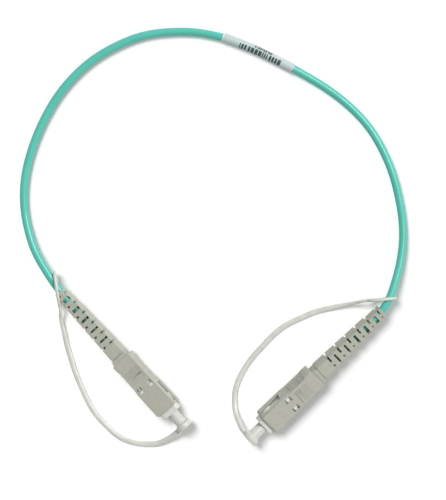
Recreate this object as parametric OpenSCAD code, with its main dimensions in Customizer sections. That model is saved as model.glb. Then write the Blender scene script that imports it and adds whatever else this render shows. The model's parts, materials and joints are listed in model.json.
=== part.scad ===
// Simplex patch cord: a 3 mm multimode cable with a square push-pull plug at
// each end, slotted boots, tethered dust caps and a marker label under a
// clear sleeve. It lies on a flat surface at Z = 0.
//
// Each plug is drawn in its own frame: +X runs along the plug towards its
// dust cap, X = 0 is the front face of the plug frame, and +Z is the wide
// side without the key. Distances marked "behind" count along -X.

/* [Cable] */
// Outer diameter of the jacket
cable_d = 3.0; // [2.6:0.1:3.2]
// Wall of the jacket
jacket_wall = 0.5; // [0.3:0.05:0.6]
// Diameter of the tight-buffered fibre
fiber_d = 0.9; // [0.6:0.05:1.0]

/* [Ferrule] */
// Diameter of the ceramic ferrule
ferrule_d = 2.5; // [2.3:0.01:2.6]
// Length of the ferrule
ferrule_len = 10.5; // [9:0.1:12]
// How far the ferrule's tip stands in front of the plug frame
ferrule_out = 3.4; // [2.5:0.1:3.8]
// Chamfer round the ferrule's tip
ferrule_chamfer = 0.35; // [0.1:0.05:0.6]
// How far the ferrule can be pushed back against its spring
float_travel = 1.0; // [0.5:0.1:1.5]
// Thickness of the collar of the ferrule flange
collar_t = 1.6; // [1:0.1:2.2]
// Diameter of the flange's rear tube
flange_tube_d = 3.1; // [3:0.05:3.3]
// Length of the flange's rear tube behind the collar
flange_tube_len = 3.75; // [3.2:0.05:4.5]
// Wire diameter of the ferrule spring
spring_wire_d = 0.35; // [0.25:0.05:0.45]
// Turns of the ferrule spring
spring_turns = 7; // [5:1:9]

/* [Plug frame] */
// Width of the inner frame
frame_w = 7.0; // [6.6:0.1:7.4]
// Height of the inner frame
frame_h = 5.2; // [5:0.1:5.6]
// Length of the inner frame
frame_len = 17.5; // [16.5:0.1:19]
// Chamfer along the frame's long edges
frame_chamfer = 0.5; // [0.2:0.1:0.8]
// Diameter of the bore that holds the flange and the spring
frame_bore_d = 4.4; // [4.2:0.05:4.6]
// Diameter of the open recess round the ferrule
recess_d = 4.9; // [4.6:0.05:5]
// Depth of that recess
recess_depth = 3.5; // [2.5:0.1:4.2]
// Thickness of the web that stops the flange
web_t = 0.7; // [0.5:0.1:1]
// Height of the latch shoulders in the side windows
latch_h = 3.6; // [2.4:0.1:4.4]
// How far the latch shoulders stand out of the frame
latch_out = 0.75; // [0.4:0.05:0.9]
// Distance of the latch shoulder behind the front face
latch_behind = 6.9; // [6:0.1:8]
// Length of the ramp in front of the latch shoulder
latch_ramp = 3.2; // [2:0.1:3.6]
// Width of a stop block on the wide faces
stop_w = 1.75; // [1:0.05:2]
// Length of a stop block
stop_len = 1.2; // [0.8:0.1:1.6]
// Height of a stop block above the frame
stop_out = 0.8; // [0.5:0.05:0.9]
// Distance between the middles of the two stop blocks
stop_spacing = 4.8; // [4:0.1:5]
// Distance of the stop blocks behind the front face
stop_behind = 12.9; // [12:0.1:14]

/* [Grip] */
// Width at the grip's front
grip_w = 9.0; // [8.8:0.05:9.4]
// Height at the grip's front
grip_h = 7.4; // [7.2:0.05:7.8]
// Width at the grip's rear
grip_rear_w = 8.5; // [8.2:0.05:9]
// Height at the grip's rear
grip_rear_h = 7.0; // [6.8:0.05:7.4]
// Length of the grip without its rear tongue
grip_len = 25.7; // [24.8:0.1:26]
// Distance of the grip's front behind the plug frame's front
grip_setback = 2.1; // [2:0.1:2.6]
// Full sliding travel of the grip on the plug frame
grip_travel = 1.4; // [1:0.1:1.6]
// Gap between the grip's inside and the plug frame
grip_gap = 0.15; // [0.1:0.01:0.2]
// Radius of the grip's long edges
grip_edge_r = 0.5; // [0.3:0.05:0.8]
// Depth of the finger waist in the narrow sides
waist_depth = 0.4; // [0.2:0.05:0.45]
// Length of the finger waist with its slopes
waist_len = 12.2; // [10:0.1:13]
// Length of the ear behind the waist
ear_len = 2.0; // [1.2:0.1:3]
// Height of the latch windows in the narrow sides
window_h = 4.0; // [3.8:0.1:4.6]
// Length of the latch windows
window_len = 9.5; // [8:0.1:10]
// Distance of the latch windows behind the grip's front
window_behind = 0.9; // [0.7:0.05:1.2]
// Spacing of the grip ridges
ridge_pitch = 1.0; // [0.8:0.1:1.4]
// Width of the groove between two ridges
ridge_gap = 0.45; // [0.3:0.05:0.6]
// Depth of the grooves between the ridges
ridge_depth = 0.15; // [0.05:0.01:0.16]
// Ridges on each narrow side
side_ridges = 11; // [6:1:11]
// Ridges on each wide face
face_ridges = 6; // [3:1:7]
// Width of the ridged field on the wide faces
face_ridge_w = 5.6; // [4:0.1:6]
// Length of the tongue that reaches over the boot's neck
tongue_len = 1.6; // [1:0.1:1.7]
// Width of the tongue at its end
tongue_w = 6.2; // [5:0.1:7]
// Width of the polarity key under the grip
key_w = 2.0; // [1.6:0.1:2.4]
// Height of the polarity key
key_h = 0.6; // [0.4:0.05:0.8]
// Length of the polarity key
key_len = 8.0; // [5:0.1:12]

/* [Rear body and crimp] */
// Length of the rear body's plug inside the frame
rear_plug_len = 2.5; // [1.5:0.1:3]
// Length of the square collar behind the frame
rear_collar_len = 1.5; // [1:0.1:2]
// Length of the round part behind the collar
rear_round_len = 3.5; // [3:0.1:4]
// Diameter of the round part
rear_round_d = 4.8; // [4.4:0.1:5]
// Outer diameter of the crimp post
post_d = 2.4; // [2.2:0.05:2.5]
// Length of the crimp post
post_len = 5.0; // [4:0.1:5.4]
// Bore through the rear body
rear_bore_d = 1.8; // [1.7:0.05:1.9]
// Wall of the inner tube
inner_tube_wall = 0.2; // [0.15:0.01:0.25]
// Wall of the crimp sleeve
sleeve_wall = 0.35; // [0.25:0.05:0.45]
// Length of the crimp sleeve
sleeve_len = 8.5; // [7.5:0.1:9]

/* [Boot] */
// Side of the boot at its shoulder
boot_side = 5.92; // [5.6:0.02:6.2]
// Side of the boot just before the step near its tail
boot_step_side = 4.64; // [4.4:0.02:5]
// Depth of that step
boot_step = 0.2; // [0.1:0.05:0.25]
// Side of the boot at its tail
boot_tail_side = 4.12; // [4.1:0.02:4.2]
// Radius of the boot's long edges
boot_edge_r = 0.5; // [0.3:0.05:0.8]
// Gap between the rear body's round part and the boot's neck
boot_gap = 1.8; // [0.8:0.1:2.4]
// Length from the shoulder to the step
boot_body_len = 25.7; // [25:0.1:27]
// Length from the step to the tail
boot_tail_len = 7.0; // [6:0.1:8]
// Side of the neck inside the grip
neck_side = 5.4; // [5:0.05:5.5]
// Length of the neck
neck_len = 5.3; // [4.6:0.1:5.4]
// Spacing of the slot rings
slot_pitch = 5.1; // [4.6:0.05:5.2]
// Rings of slots that cut the two wide faces
face_slot_rings = 5; // [2:1:5]
// Rings of slots that cut the four corners
corner_slot_rings = 6; // [3:1:6]
// Width of a slot along the boot
slot_w = 0.75; // [0.5:0.05:0.9]
// How much wider each face slot gets towards the tail
slot_growth = 0.25; // [0:0.05:0.25]
// Width of a face slot at its floor
slot_root_w = 2.8; // [2.2:0.1:3]
// Height of a face slot's floor above the axis
slot_floor = 0.9; // [0.6:0.05:1.2]
// Distance of a face slot's ends from the boot's sides
corner_bridge = 0.45; // [0.4:0.05:0.7]
// Width of the bridges between the corner slots
face_bridge = 1.4; // [1.2:0.1:2.2]
// Play between the boot and the crimp sleeve
boot_play = 0.5; // [0.2:0.05:0.6]

/* [Dust cap and tether] */
// Outer diameter of the cap's barrel
cap_barrel_d = 4.3; // [4:0.05:4.4]
// How far the barrel reaches into the recess
cap_in = 2.0; // [1:0.1:2.4]
// Length of the cap in front of the plug frame
cap_out = 7.6; // [6.8:0.1:9]
// Diameter of the cap's rim
cap_rim_d = 6.6; // [6:0.1:7.2]
// Thickness of the cap's rim
cap_rim_t = 2.1; // [1.9:0.1:2.6]
// Depth of the ferrule bore past the ferrule's tip
cap_bore_spare = 0.6; // [0.3:0.1:1.2]
// Width of the tether strap
tether_w = 2.0; // [1.4:0.1:2.2]
// Thickness of the tether strap
tether_t = 0.9; // [0.6:0.05:1]
// Strand thickness of the tether's eyelet
eyelet_d = 1.2; // [0.9:0.05:1.3]
// Half the height of the eyelet, to the middle of its strand
eyelet_rise = 3.0; // [2.8:0.05:3.2]

/* [Label] */
// Thickness of the wrapped label
label_t = 0.12; // [0.08:0.02:0.2]
// Wall of the clear sleeve over the label
clear_wall = 0.3; // [0.2:0.05:0.4]

/* [Layout] */
// Plug frame front of the left plug, along X
left_x = -18.3; // [-20:0.1:-16]
// Plug frame front of the left plug, along Y
left_y = -17.6; // [-20:0.1:-16]
// Direction in which the left plug points
left_heading = -47.3; // [-49:0.1:-46]
// Roll of the left plug, its +Y side up
left_roll = 11; // [5:1:20]
// How far the left grip stands forward of its rear stop
left_grip_on = 0; // [0:0.1:1]
// Plug frame front of the right plug, along X
right_x = 15.8; // [14:0.1:18]
// Plug frame front of the right plug, along Y
right_y = -22.4; // [-24:0.1:-20]
// Direction in which the right plug points
right_heading = 224.1; // [223:0.1:226]
// Roll of the right plug, its +Y side up
right_roll = -26; // [-30:1:-10]
// How far the right grip stands forward of its rear stop
right_grip_on = 0.5; // [0:0.1:1]
// How far each cap's tether side dips below level
cap_dip = 12; // [0:1:20]

/* [Hidden] */

$fn = 48;
hair = 0.05;      // flush clearance between neighbours that meet
running = 0.1;    // radial clearance of pieces that slide in a bore
through = 1;      // overshoot of a cut past the faces it opens
cord_sides = 8;   // sides of the swept cable layers
wire_sides = 6;   // sides of the swept spring wire and eyelet strand
wire_rings = 8;   // rings in one turn of a spring
eyelet_rings = 24;

// Colours
beige = "#b3b5a7";
natural_white = "#e4e5df";
ceramic = "#f4f2ec";
nickel = "#b9bbbd";
steel = "#8d9094";
black_resin = "#3a3b3c";
aqua = "#4ecbbb";
yarn_yellow = "#e0c64e";
label_blue = "#c3cfcc";
clear = "#dfe8e8";

// Places along the plug, as distances behind the plug frame's front
flange_behind = recess_depth + web_t + hair;
collar_end = flange_behind + collar_t;
flange_end = collar_end + flange_tube_len;
ferrule_end = ferrule_len - ferrule_out;
rear_plug_behind = frame_len - rear_plug_len;
rear_collar_end = frame_len + rear_collar_len;
post_behind = rear_collar_end + rear_round_len;
post_end = post_behind + post_len;
sleeve_behind = post_behind + 0.2;
sleeve_end = sleeve_behind + sleeve_len;
jacket_behind = post_end + 1.5;
neck_behind = post_behind + boot_gap;
boot_behind = neck_behind + neck_len;
boot_step_behind = boot_behind + boot_body_len;
boot_end = boot_step_behind + boot_tail_len;
inner_tube_behind = flange_end + float_travel + 0.6;
inner_tube_end = post_end - 0.7;
fiber_behind = ferrule_end + float_travel + 0.2;

// Bores that follow what runs in them
sleeve_in_d = cable_d + 0.3;
sleeve_out_d = sleeve_in_d + 2 * sleeve_wall;
boot_bore_d = cable_d + 0.3;
boot_cavity_d = sleeve_out_d + boot_play;
inner_tube_d = rear_bore_d - 2 * running;
spring_mean_d = (frame_bore_d + flange_tube_d) / 2;

// Inside of the grip
cavity_w = frame_w + 2 * grip_gap;
cavity_h = frame_h + 2 * grip_gap;
rear_cavity_h = max(neck_side + 0.4, cavity_h);
rear_collar_w = frame_w - 0.6;
rear_cavity_w = max(neck_side, rear_collar_w) + 0.3;

// Height of a plug's axis when it rests on its lower edge or on its key
function rest_height(roll) = max(
    (grip_h / 2 + key_h) * cos(roll) + key_w / 2 * sin(abs(roll)),
    (grip_w / 2 - grip_edge_r) * sin(abs(roll)) + (grip_h / 2 - grip_edge_r) * cos(roll) + grip_edge_r);
left_z = rest_height(left_roll);
right_z = rest_height(right_roll);

// A point at a distance behind the left or right plug frame's front, on its axis
function left_axis(behind) = [left_x - behind * cos(left_heading), left_y - behind * sin(left_heading), left_z];
function right_axis(behind) = [right_x - behind * cos(right_heading), right_y - behind * sin(right_heading), right_z];

// Route of the cable from the left boot's tail to the right boot's tail.
// It comes down to the surface, lies in one open bow, and lifts a little
// where the label's sleeve is wrapped round it.
low = cable_d / 2;
label_low = low + label_t + clear_wall + 2 * hair;
bow = [[-62.4, 30.6, 4.3], [-66.1, 36.1, 3.8], [-70.0, 42.9, 2.9], [-72.6, 50.2, 2.1],
    [-74.2, 57.9, low], [-74.6, 65.7, low], [-73.8, 73.4, low], [-72.0, 80.6, low],
    [-69.5, 87.6, low], [-66.5, 94.1, low], [-63.0, 100.2, low], [-58.9, 105.8, low],
    [-54.3, 110.8, low], [-49.2, 115.2, low], [-43.7, 118.8, low], [-38.1, 121.7, low],
    [-32.4, 124.0, low], [-26.5, 125.5, low], [-20.6, 126.2, low], [-14.8, 126.4, low],
    [-9.2, 126.1, low], [-3.8, 125.2, low + 0.2],
    [1.4, 123.9, label_low], [6.9, 121.9, label_low], [14.7, 118.6, label_low],
    [21.9, 115.0, label_low], [27.3, 112.3, label_low],
    [32.4, 109.5, low + 0.2], [37.3, 106.6, low], [41.9, 103.5, low], [46.9, 99.6, low],
    [51.6, 95.2, low], [55.9, 90.2, low], [59.5, 84.6, low], [62.7, 78.2, low],
    [65.3, 71.2, low], [67.2, 63.7, low], [68.5, 55.6, low], [68.7, 47.2, 2.0],
    [67.5, 38.7, 2.9], [65.4, 31.0, 4.0], [63.9, 26.8, 4.6], [62.2, 23.4, 5.0]];
label_first = 22;  // place in the bow where the label starts
label_last = 26;   // and where it ends

jacket_route = concat([for (b = [jacket_behind, 45, boot_end - 0.3]) left_axis(b)], bow,
    [for (b = [boot_end - 0.3, 45, jacket_behind]) right_axis(b)]);
fiber_route = concat([for (b = [fiber_behind, jacket_behind, 45, boot_end - 0.3]) left_axis(b)], bow,
    [for (b = [boot_end - 0.3, 45, jacket_behind, fiber_behind]) right_axis(b)]);
// The yarn is folded back over the crimp post at both ends
yarn_front = [post_behind + 0.6, post_end + 0.5, jacket_behind - hair, 45, boot_end - 0.3];
yarn_route = concat([for (b = yarn_front) left_axis(b)], bow,
    [for (i = [len(yarn_front) - 1:-1:0]) right_axis(yarn_front[i])]);

// Tether straps lie on the surface and rise to the cable at their eyelets
strap_z = tether_t / 2 + 0.03;
left_strap = [[-19.3, -27.0, 2.4], [-22.9, -29.0, 1.2], [-26.8, -29.7, 0.6],
    [-30.7, -29.6, strap_z], [-34.6, -28.7, strap_z], [-38.8, -26.9, strap_z],
    [-42.8, -23.4, strap_z], [-47.0, -19.0, strap_z], [-50.2, -14.0, strap_z],
    [-52.7, -8.6, strap_z], [-55.0, -3.1, strap_z], [-56.7, 2.2, strap_z],
    [-58.4, 8.0, 0.6], [-59.7, 13.8, 1.3], [-60.6, 19.1, 2.8]];
left_eye = [[-60.8, 23.0, 4.1], [-62.7, 35.3, 4.1]];
right_strap = [[7.2, -22.1, 3.4], [6.1, -19.6, 2.2], [5.3, -16.6, 1.2], [5.1, -12.9, 0.6],
    [5.4, -9.1, strap_z], [6.6, -5.4, strap_z], [8.5, -1.7, strap_z],
    [10.8, 1.9, strap_z], [13.5, 5.1, strap_z], [16.7, 8.6, strap_z],
    [20.6, 12.3, strap_z], [25.1, 15.4, strap_z], [30.1, 17.8, strap_z],
    [35.7, 20.1, strap_z], [41.3, 21.4, 0.7], [46.9, 22.7, 1.7], [52.2, 23.7, 3.6]];
right_eye = [[55.8, 24.2, 4.8], [65.6, 24.9, 4.8]];

// ---- Sweeps -------------------------------------------------------------

function unit(v) = v / norm(v);
function last_of(list) = len(list) - 1;
function tangent(route, i) = unit(route[min(i + 1, last_of(route))] - route[max(i - 1, 0)]);
function circle_of(r, sides, turn = 0) = [for (i = [0:sides - 1]) let (a = turn + 360 * i / sides)
    [r * cos(a), r * sin(a)]];
function flat_band(w, t) = [[w / 2, 0], [w / 2 - t / 4, t / 2], [0, t / 2], [t / 4 - w / 2, t / 2],
    [-w / 2, 0], [t / 4 - w / 2, -t / 2], [0, -t / 2], [w / 2 - t / 4, -t / 2]];

// One cross-section: an outline set square to a direction, its first axis towards side
function ring(at, along, side, outline) = let (up = unit(cross(along, side)), across = cross(up, along))
    [for (q = outline) at + q[0] * across + q[1] * up];
function level_side(along) = cross([0, 0, 1], along);

// Triangles of a wall through rings of n points, from point number first
function wall(rings, n, first = 0, inward = false) = [for (i = [0:rings - 2], j = [0:n - 1])
    let (a = first + i * n + j, b = first + i * n + (j + 1) % n)
    each inward ? [[a, b, b + n], [a, b + n, a + n]] : [[a, b + n, b], [a, a + n, b + n]]];

// Solid rod through rings of n points
module rod(rings) {
    n = len(rings[0]);
    m = len(rings);
    polyhedron([for (r = rings) each r], concat(wall(m, n),
        [[for (j = [0:n - 1]) j]], [[for (j = [n - 1:-1:0]) (m - 1) * n + j]]), convexity = 6);
}

// Hollow tube between outer and inner rings
module pipe(outer, inner) {
    n = len(outer[0]);
    m = len(outer);
    inside = n * m;
    far = (m - 1) * n;
    ends = [for (j = [0:n - 1]) let (k = (j + 1) % n) each [
        [j, k, inside + k], [j, inside + k, inside + j],
        [far + j, inside + far + k, far + k], [far + j, inside + far + j, inside + far + k]]];
    polyhedron([for (r = concat(outer, inner)) each r],
        concat(wall(m, n), wall(m, n, inside, true), ends), convexity = 6);
}

// Rings along a route, with one radius for each point of it
function route_rings(route, radii, first = 0, last = undef) =
    [for (i = [first:is_undef(last) ? last_of(route) : last]) let (t = tangent(route, i))
        ring(route[i], t, level_side(t), circle_of(radii[i], cord_sides))];
function same(r, route) = [for (p = route) r];

// ---- Placement ----------------------------------------------------------

module on_left(roll = left_roll) {
    translate([left_x, left_y, left_z]) rotate([roll, 0, left_heading]) children();
}

module on_right(roll = right_roll) {
    translate([right_x, right_y, right_z]) rotate([roll, 0, right_heading]) children();
}

// A cylinder along the plug, from one distance behind the front to another
module bar(from, to, d) {
    translate([-to, 0, 0]) rotate([0, 90, 0]) cylinder(h = to - from, d = d);
}

// A block along the plug, centred on its axis
module block(from, to, w, h) {
    translate([-to, -w / 2, -h / 2]) cube([to - from, w, h]);
}

// A polygon of [distance behind, half width] pairs, mirrored to a full outline
function mirrored(half) = concat([for (p = half) [-p[0], p[1]]],
    [for (i = [last_of(half):-1:0]) [-half[i][0], -half[i][1]]]);

// ---- Plug frame, ferrule and spring -------------------------------------

module plug_frame() {
    c = frame_chamfer;
    difference() {
        union() {
            rotate([90, 0, 90]) translate([0, 0, -frame_len]) linear_extrude(frame_len)
                polygon([[-frame_w / 2 + c, -frame_h / 2], [frame_w / 2 - c, -frame_h / 2],
                    [frame_w / 2, -frame_h / 2 + c], [frame_w / 2, frame_h / 2 - c],
                    [frame_w / 2 - c, frame_h / 2], [-frame_w / 2 + c, frame_h / 2],
                    [-frame_w / 2, frame_h / 2 - c], [-frame_w / 2, -frame_h / 2 + c]]);
            // Latch shoulders: a ramp that rises towards the rear and drops square
            for (side = [-1, 1])
                scale([1, side, 1]) translate([0, 0, -latch_h / 2]) linear_extrude(latch_h)
                    polygon([[-latch_behind + latch_ramp, frame_w / 2 - through],
                        [-latch_behind + latch_ramp, frame_w / 2],
                        [-latch_behind, frame_w / 2 + latch_out],
                        [-latch_behind, frame_w / 2 - through]]);
            // Stop blocks in the grip's small windows
            for (side = [-1, 1], face = [-1, 1])
                translate([-stop_behind - stop_len, side * stop_spacing / 2 - stop_w / 2,
                    face > 0 ? 0 : -frame_h / 2 - stop_out])
                    cube([stop_len, stop_w, frame_h / 2 + stop_out]);
        }
        bar(-through, recess_depth, recess_d);
        bar(0, frame_len + through, ferrule_d + 2 * running);
        bar(recess_depth + web_t, frame_len + through, frame_bore_d);
    }
}

module ferrule() {
    rotate([0, 90, 0]) translate([0, 0, -ferrule_end]) {
        cylinder(h = ferrule_len - ferrule_chamfer, d = ferrule_d);
        translate([0, 0, ferrule_len - ferrule_chamfer])
            cylinder(h = ferrule_chamfer, d1 = ferrule_d, d2 = ferrule_d - 2 * ferrule_chamfer);
    }
}

module ferrule_flange() {
    difference() {
        union() {
            bar(flange_behind, collar_end, frame_bore_d - 2 * running);
            bar(collar_end, flange_end, flange_tube_d);
        }
        bar(flange_behind - through, ferrule_end, ferrule_d);
        bar(0, flange_end + through, fiber_d + 2 * running);
        // Four notches that key the collar
        for (turn = [0:90:270])
            rotate([turn, 0, 0]) translate([-flange_behind - 0.6, -0.35, frame_bore_d / 2 - 0.45])
                cube([0.6 + through, 0.7, 1]);
    }
}

// Helix of the ferrule spring, between the collar and the rear body
spring_from = collar_end + hair + spring_wire_d / 2;
spring_to = rear_plug_behind - hair - spring_wire_d / 2;
spring_steps = spring_turns * wire_rings;
spring_route = [for (i = [0:spring_steps]) let (a = 360 * i / wire_rings)
    [-spring_from - (spring_to - spring_from) * i / spring_steps,
        spring_mean_d / 2 * cos(a), spring_mean_d / 2 * sin(a)]];
spring_gap = min([for (i = [0:spring_steps - wire_rings], j = [-1:1])
    norm(spring_route[min(i + wire_rings + j, spring_steps)] - spring_route[i])]) - spring_wire_d;
echo(least_gap_between_spring_turns_mm = spring_gap);

module ferrule_spring() {
    rod([for (i = [0:spring_steps]) let (p = spring_route[i])
        ring(p, tangent(spring_route, i), [0, p[1], p[2]], circle_of(spring_wire_d / 2, wire_sides))]);
}

module rear_body() {
    difference() {
        union() {
            bar(rear_plug_behind, frame_len + hair, frame_bore_d - 2 * hair);
            intersection() {
                block(frame_len, rear_collar_end, rear_collar_w, frame_h - 0.4);
                bar(frame_len, rear_collar_end, frame_w);
            }
            bar(rear_collar_end, post_behind, rear_round_d);
            bar(post_behind, post_end, post_d - 0.2);
            // Rings that bite into the yarn
            for (b = [post_behind:0.8:post_end - 0.5])
                bar(b, b + 0.5, post_d);
        }
        bar(0, post_end + through, rear_bore_d);
    }
}

module inner_tube() {
    difference() {
        bar(inner_tube_behind, inner_tube_end, inner_tube_d);
        bar(0, inner_tube_end + through, inner_tube_d - 2 * inner_tube_wall);
    }
}

module crimp_sleeve() {
    difference() {
        bar(sleeve_behind, sleeve_end, sleeve_out_d);
        bar(0, sleeve_end + through, sleeve_in_d);
    }
}

// ---- Grip ---------------------------------------------------------------

// Half width and half height of the grip at a distance behind its front
function grip_half_w(s) = grip_w / 2 - (grip_w - grip_rear_w) / 2 * s / grip_len;
function grip_half_h(s) = grip_h / 2 - (grip_h - grip_rear_h) / 2 * s / grip_len;

// Outline of the narrow sides: round nose, finger waist and rear ear
waist_to = grip_len - ear_len;
waist_from = waist_to - waist_len;
grip_side = [[0, grip_half_w(0) - 0.95], [0.3, grip_half_w(0) - 0.5], [0.9, grip_half_w(0) - 0.12],
    [1.6, grip_half_w(1.6)], [waist_from, grip_half_w(waist_from)],
    [waist_from + 2.4, grip_half_w(waist_from + 2.4) - waist_depth],
    [waist_to - 1.8, grip_half_w(waist_to) - waist_depth], [waist_to, grip_half_w(waist_to)],
    [grip_len - 0.6, grip_half_w(grip_len - 0.6)], [grip_len - 0.15, grip_half_w(grip_len) - 0.15],
    [grip_len, grip_half_w(grip_len) - 0.5]];

// Outline of the wide faces, with a round nose
grip_face = [[0, grip_half_h(0) - 0.7], [0.2, grip_half_h(0) - 0.35], [0.7, grip_half_h(0.7)],
    [grip_len, grip_half_h(grip_len)]];

module grip_corners(s, w, h) {
    for (y = [-1, 1], z = [-1, 1])
        translate([-s, y * (w / 2 - grip_edge_r), z * (h / 2 - grip_edge_r)]) rotate([0, 90, 0])
            cylinder(h = 0.02, r = grip_edge_r, $fn = 32);
}

module grip_body() {
    intersection() {
        hull() {
            grip_corners(0.02, grip_w, grip_h);
            grip_corners(grip_len, grip_rear_w, grip_rear_h);
        }
        translate([0, 0, -grip_h]) linear_extrude(2 * grip_h) polygon(mirrored(grip_side));
        rotate([90, 0, 0]) translate([0, 0, -grip_w]) linear_extrude(2 * grip_w)
            polygon(mirrored(grip_face));
    }
    // Tongue over the boot's neck
    tongue_top = grip_rear_h / 2;
    translate([0, 0, rear_cavity_h / 2]) linear_extrude(tongue_top - rear_cavity_h / 2)
        polygon(mirrored([[grip_len - 1, grip_rear_w / 2 - 0.6], [grip_len, grip_rear_w / 2 - 0.6],
            [grip_len + tongue_len, tongue_w / 2]]));
    // Polarity key
    translate([-key_len - 0.8, -key_w / 2, -grip_h / 2 - key_h]) cube([key_len, key_w, key_h + 0.6]);
}

// The grip, drawn with its front at its distance behind the plug frame's front
module grip(on) {
    front = grip_setback - on;
    translate([-front, 0, 0]) difference() {
        grip_body();
        // Through cavity, higher at the rear for the boot's neck
        block(-through, frame_len - grip_setback + grip_travel + running, cavity_w, cavity_h);
        block(frame_len / 2, grip_len + through, rear_cavity_w, cavity_h);
        block(neck_behind - grip_setback - 0.5, grip_len + tongue_len + through, rear_cavity_w, rear_cavity_h);
        // Latch windows in the narrow sides
        block(window_behind, window_behind + window_len, 2 * grip_w, window_h);
        // Windows for the stop blocks, as long as the grip can travel
        for (side = [-1, 1])
            translate([-(stop_behind + stop_len - grip_setback + grip_travel + hair),
                side * stop_spacing / 2 - stop_w / 2 - running, -grip_h])
                cube([stop_len + grip_travel + 2 * hair, stop_w + 2 * running, 2 * grip_h]);
        // Grooves between the ridges of the narrow sides
        for (i = [0:side_ridges - 1], side = [-1, 1]) {
            s = waist_from + 0.2 + i * ridge_pitch;
            translate([-s - ridge_gap, side * (lookup(s, grip_side) - ridge_depth) - (side < 0 ? 1 : 0), -2.4])
                cube([ridge_gap, 1, 4.8]);
        }
        // Grooves between the ridges of the wide faces
        for (i = [0:face_ridges - 1], side = [-1, 1]) {
            s = waist_from + 3.8 + i * ridge_pitch;
            translate([-s - ridge_gap, -face_ridge_w / 2,
                side * (grip_half_h(s) - ridge_depth) - (side < 0 ? 1 : 0)])
                cube([ridge_gap, face_ridge_w, 1]);
        }
        // Cross groove at the root of the tongue
        translate([-grip_len - 0.5, -grip_w, grip_rear_h / 2 - 0.2]) cube([0.4, 2 * grip_w, 1]);
    }
}

// ---- Boot ---------------------------------------------------------------

// [distance behind, half side] along the boot's tapered body
boot_profile = [[boot_behind, boot_side / 2], [boot_step_behind, boot_step_side / 2],
    [boot_step_behind, boot_step_side / 2 - boot_step], [boot_end, boot_tail_side / 2]];
function across_corners(half) = (half - boot_edge_r) * sqrt(2) + boot_edge_r;
function boot_half(b) = b < boot_step_behind
    ? boot_side / 2 + (boot_step_side - boot_side) / 2 * (b - boot_behind) / boot_body_len
    : boot_step_side / 2 - boot_step;

// Square taper with its long edges rounded off by a turned body
module boot_body() {
    intersection() {
        translate([0, 0, -boot_side]) linear_extrude(2 * boot_side) polygon(mirrored(boot_profile));
        rotate([90, 0, 0]) translate([0, 0, -boot_side]) linear_extrude(2 * boot_side)
            polygon(mirrored(boot_profile));
        rotate([0, -90, 0]) rotate_extrude() polygon(concat(
            [[0, boot_behind]], [for (p = boot_profile) [across_corners(p[1]), p[0]]], [[0, boot_end]]));
    }
    intersection() {
        block(neck_behind, boot_behind + 0.5, neck_side, neck_side);
        bar(neck_behind, boot_behind + 0.5, 2 * across_corners(neck_side / 2));
    }
}

// Slots from the two wide faces into the bore, with ends that slope inwards
module face_slots(b, w) {
    open = boot_half(b) - corner_bridge;
    for (turn = [0, 180])
        rotate([turn, 0, 0]) translate([-b - w / 2, 0, 0]) rotate([90, 0, 90]) linear_extrude(w)
            polygon([[-slot_root_w / 2, slot_floor], [slot_root_w / 2, slot_floor], [open, boot_half(b)],
                [open, boot_side], [-open, boot_side], [-open, boot_half(b)]]);
}

// Slots through the four corners
module corner_slots(b, w) {
    for (turn = [0:90:270])
        rotate([turn, 0, 0]) translate([-b - w / 2, face_bridge / 2, face_bridge / 2])
            cube([w, boot_side, boot_side]);
}

module boot() {
    face_slot_end = boot_end - 4.0;
    corner_slot_end = boot_end - 1.5;
    difference() {
        boot_body();
        bar(0, sleeve_end + 0.3, boot_cavity_d);
        // The bore narrows from the crimp sleeve to the cable
        translate([-boot_end + 2, 0, 0]) rotate([0, 90, 0])
            cylinder(h = boot_end - 2 - sleeve_end - 0.25, d1 = boot_bore_d, d2 = boot_cavity_d);
        bar(0, boot_end + through, boot_bore_d);
        for (i = [0:face_slot_rings - 1])
            face_slots(face_slot_end - i * slot_pitch, slot_w + slot_growth * max(0, 3 - i));
        for (i = [0:corner_slot_rings - 1])
            corner_slots(corner_slot_end - i * slot_pitch, slot_w);
    }
}

// ---- Dust cap and tether ------------------------------------------------

cap_rim_from = cap_out - cap_rim_t;
lug_reach = cap_rim_d / 2 + 0.3;
lug_x = cap_out - cap_rim_t / 2;

module dust_cap() {
    barrel = cap_barrel_d / 2;
    rim = cap_rim_d / 2;
    difference() {
        union() {
            rotate([0, 90, 0]) rotate_extrude() polygon([[0, -cap_in], [barrel - 0.2, -cap_in],
                [barrel, -cap_in + 0.3], [barrel, cap_rim_from - 0.9], [barrel + 0.1, cap_rim_from - 0.6],
                [barrel + 0.3, cap_rim_from - 0.3], [barrel + 0.6, cap_rim_from - 0.1],
                [rim - 0.3, cap_rim_from], [rim - 0.1, cap_rim_from + 0.1], [rim, cap_rim_from + 0.4],
                [rim, cap_out - 0.5], [rim - 0.15, cap_out - 0.15], [rim - 0.5, cap_out], [0, cap_out]]);
            translate([lug_x - tether_w / 2, -lug_reach, -tether_t / 2])
                cube([tether_w, lug_reach, tether_t]);
        }
        bar(-ferrule_out - cap_bore_spare, cap_in + through, ferrule_d + hair);
        // Moulding dimple in the end
        bar(-cap_out - through, -cap_out + 0.3, cap_barrel_d - 1);
    }
}

// A point of the layout at a distance from a plug's axis, out along its cap's lug
function lug_line(x, y, z, heading, reach) =
    [x + lug_x * cos(heading) + reach * cos(cap_dip) * sin(heading),
        y + lug_x * sin(heading) - reach * cos(cap_dip) * cos(heading), z - reach * sin(cap_dip)];
// The strap's first stretch, straight out of the lug
function strap_start(x, y, z, heading) =
    [for (out = [running, 0.7]) lug_line(x, y, z, heading, lug_reach + out)];

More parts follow.
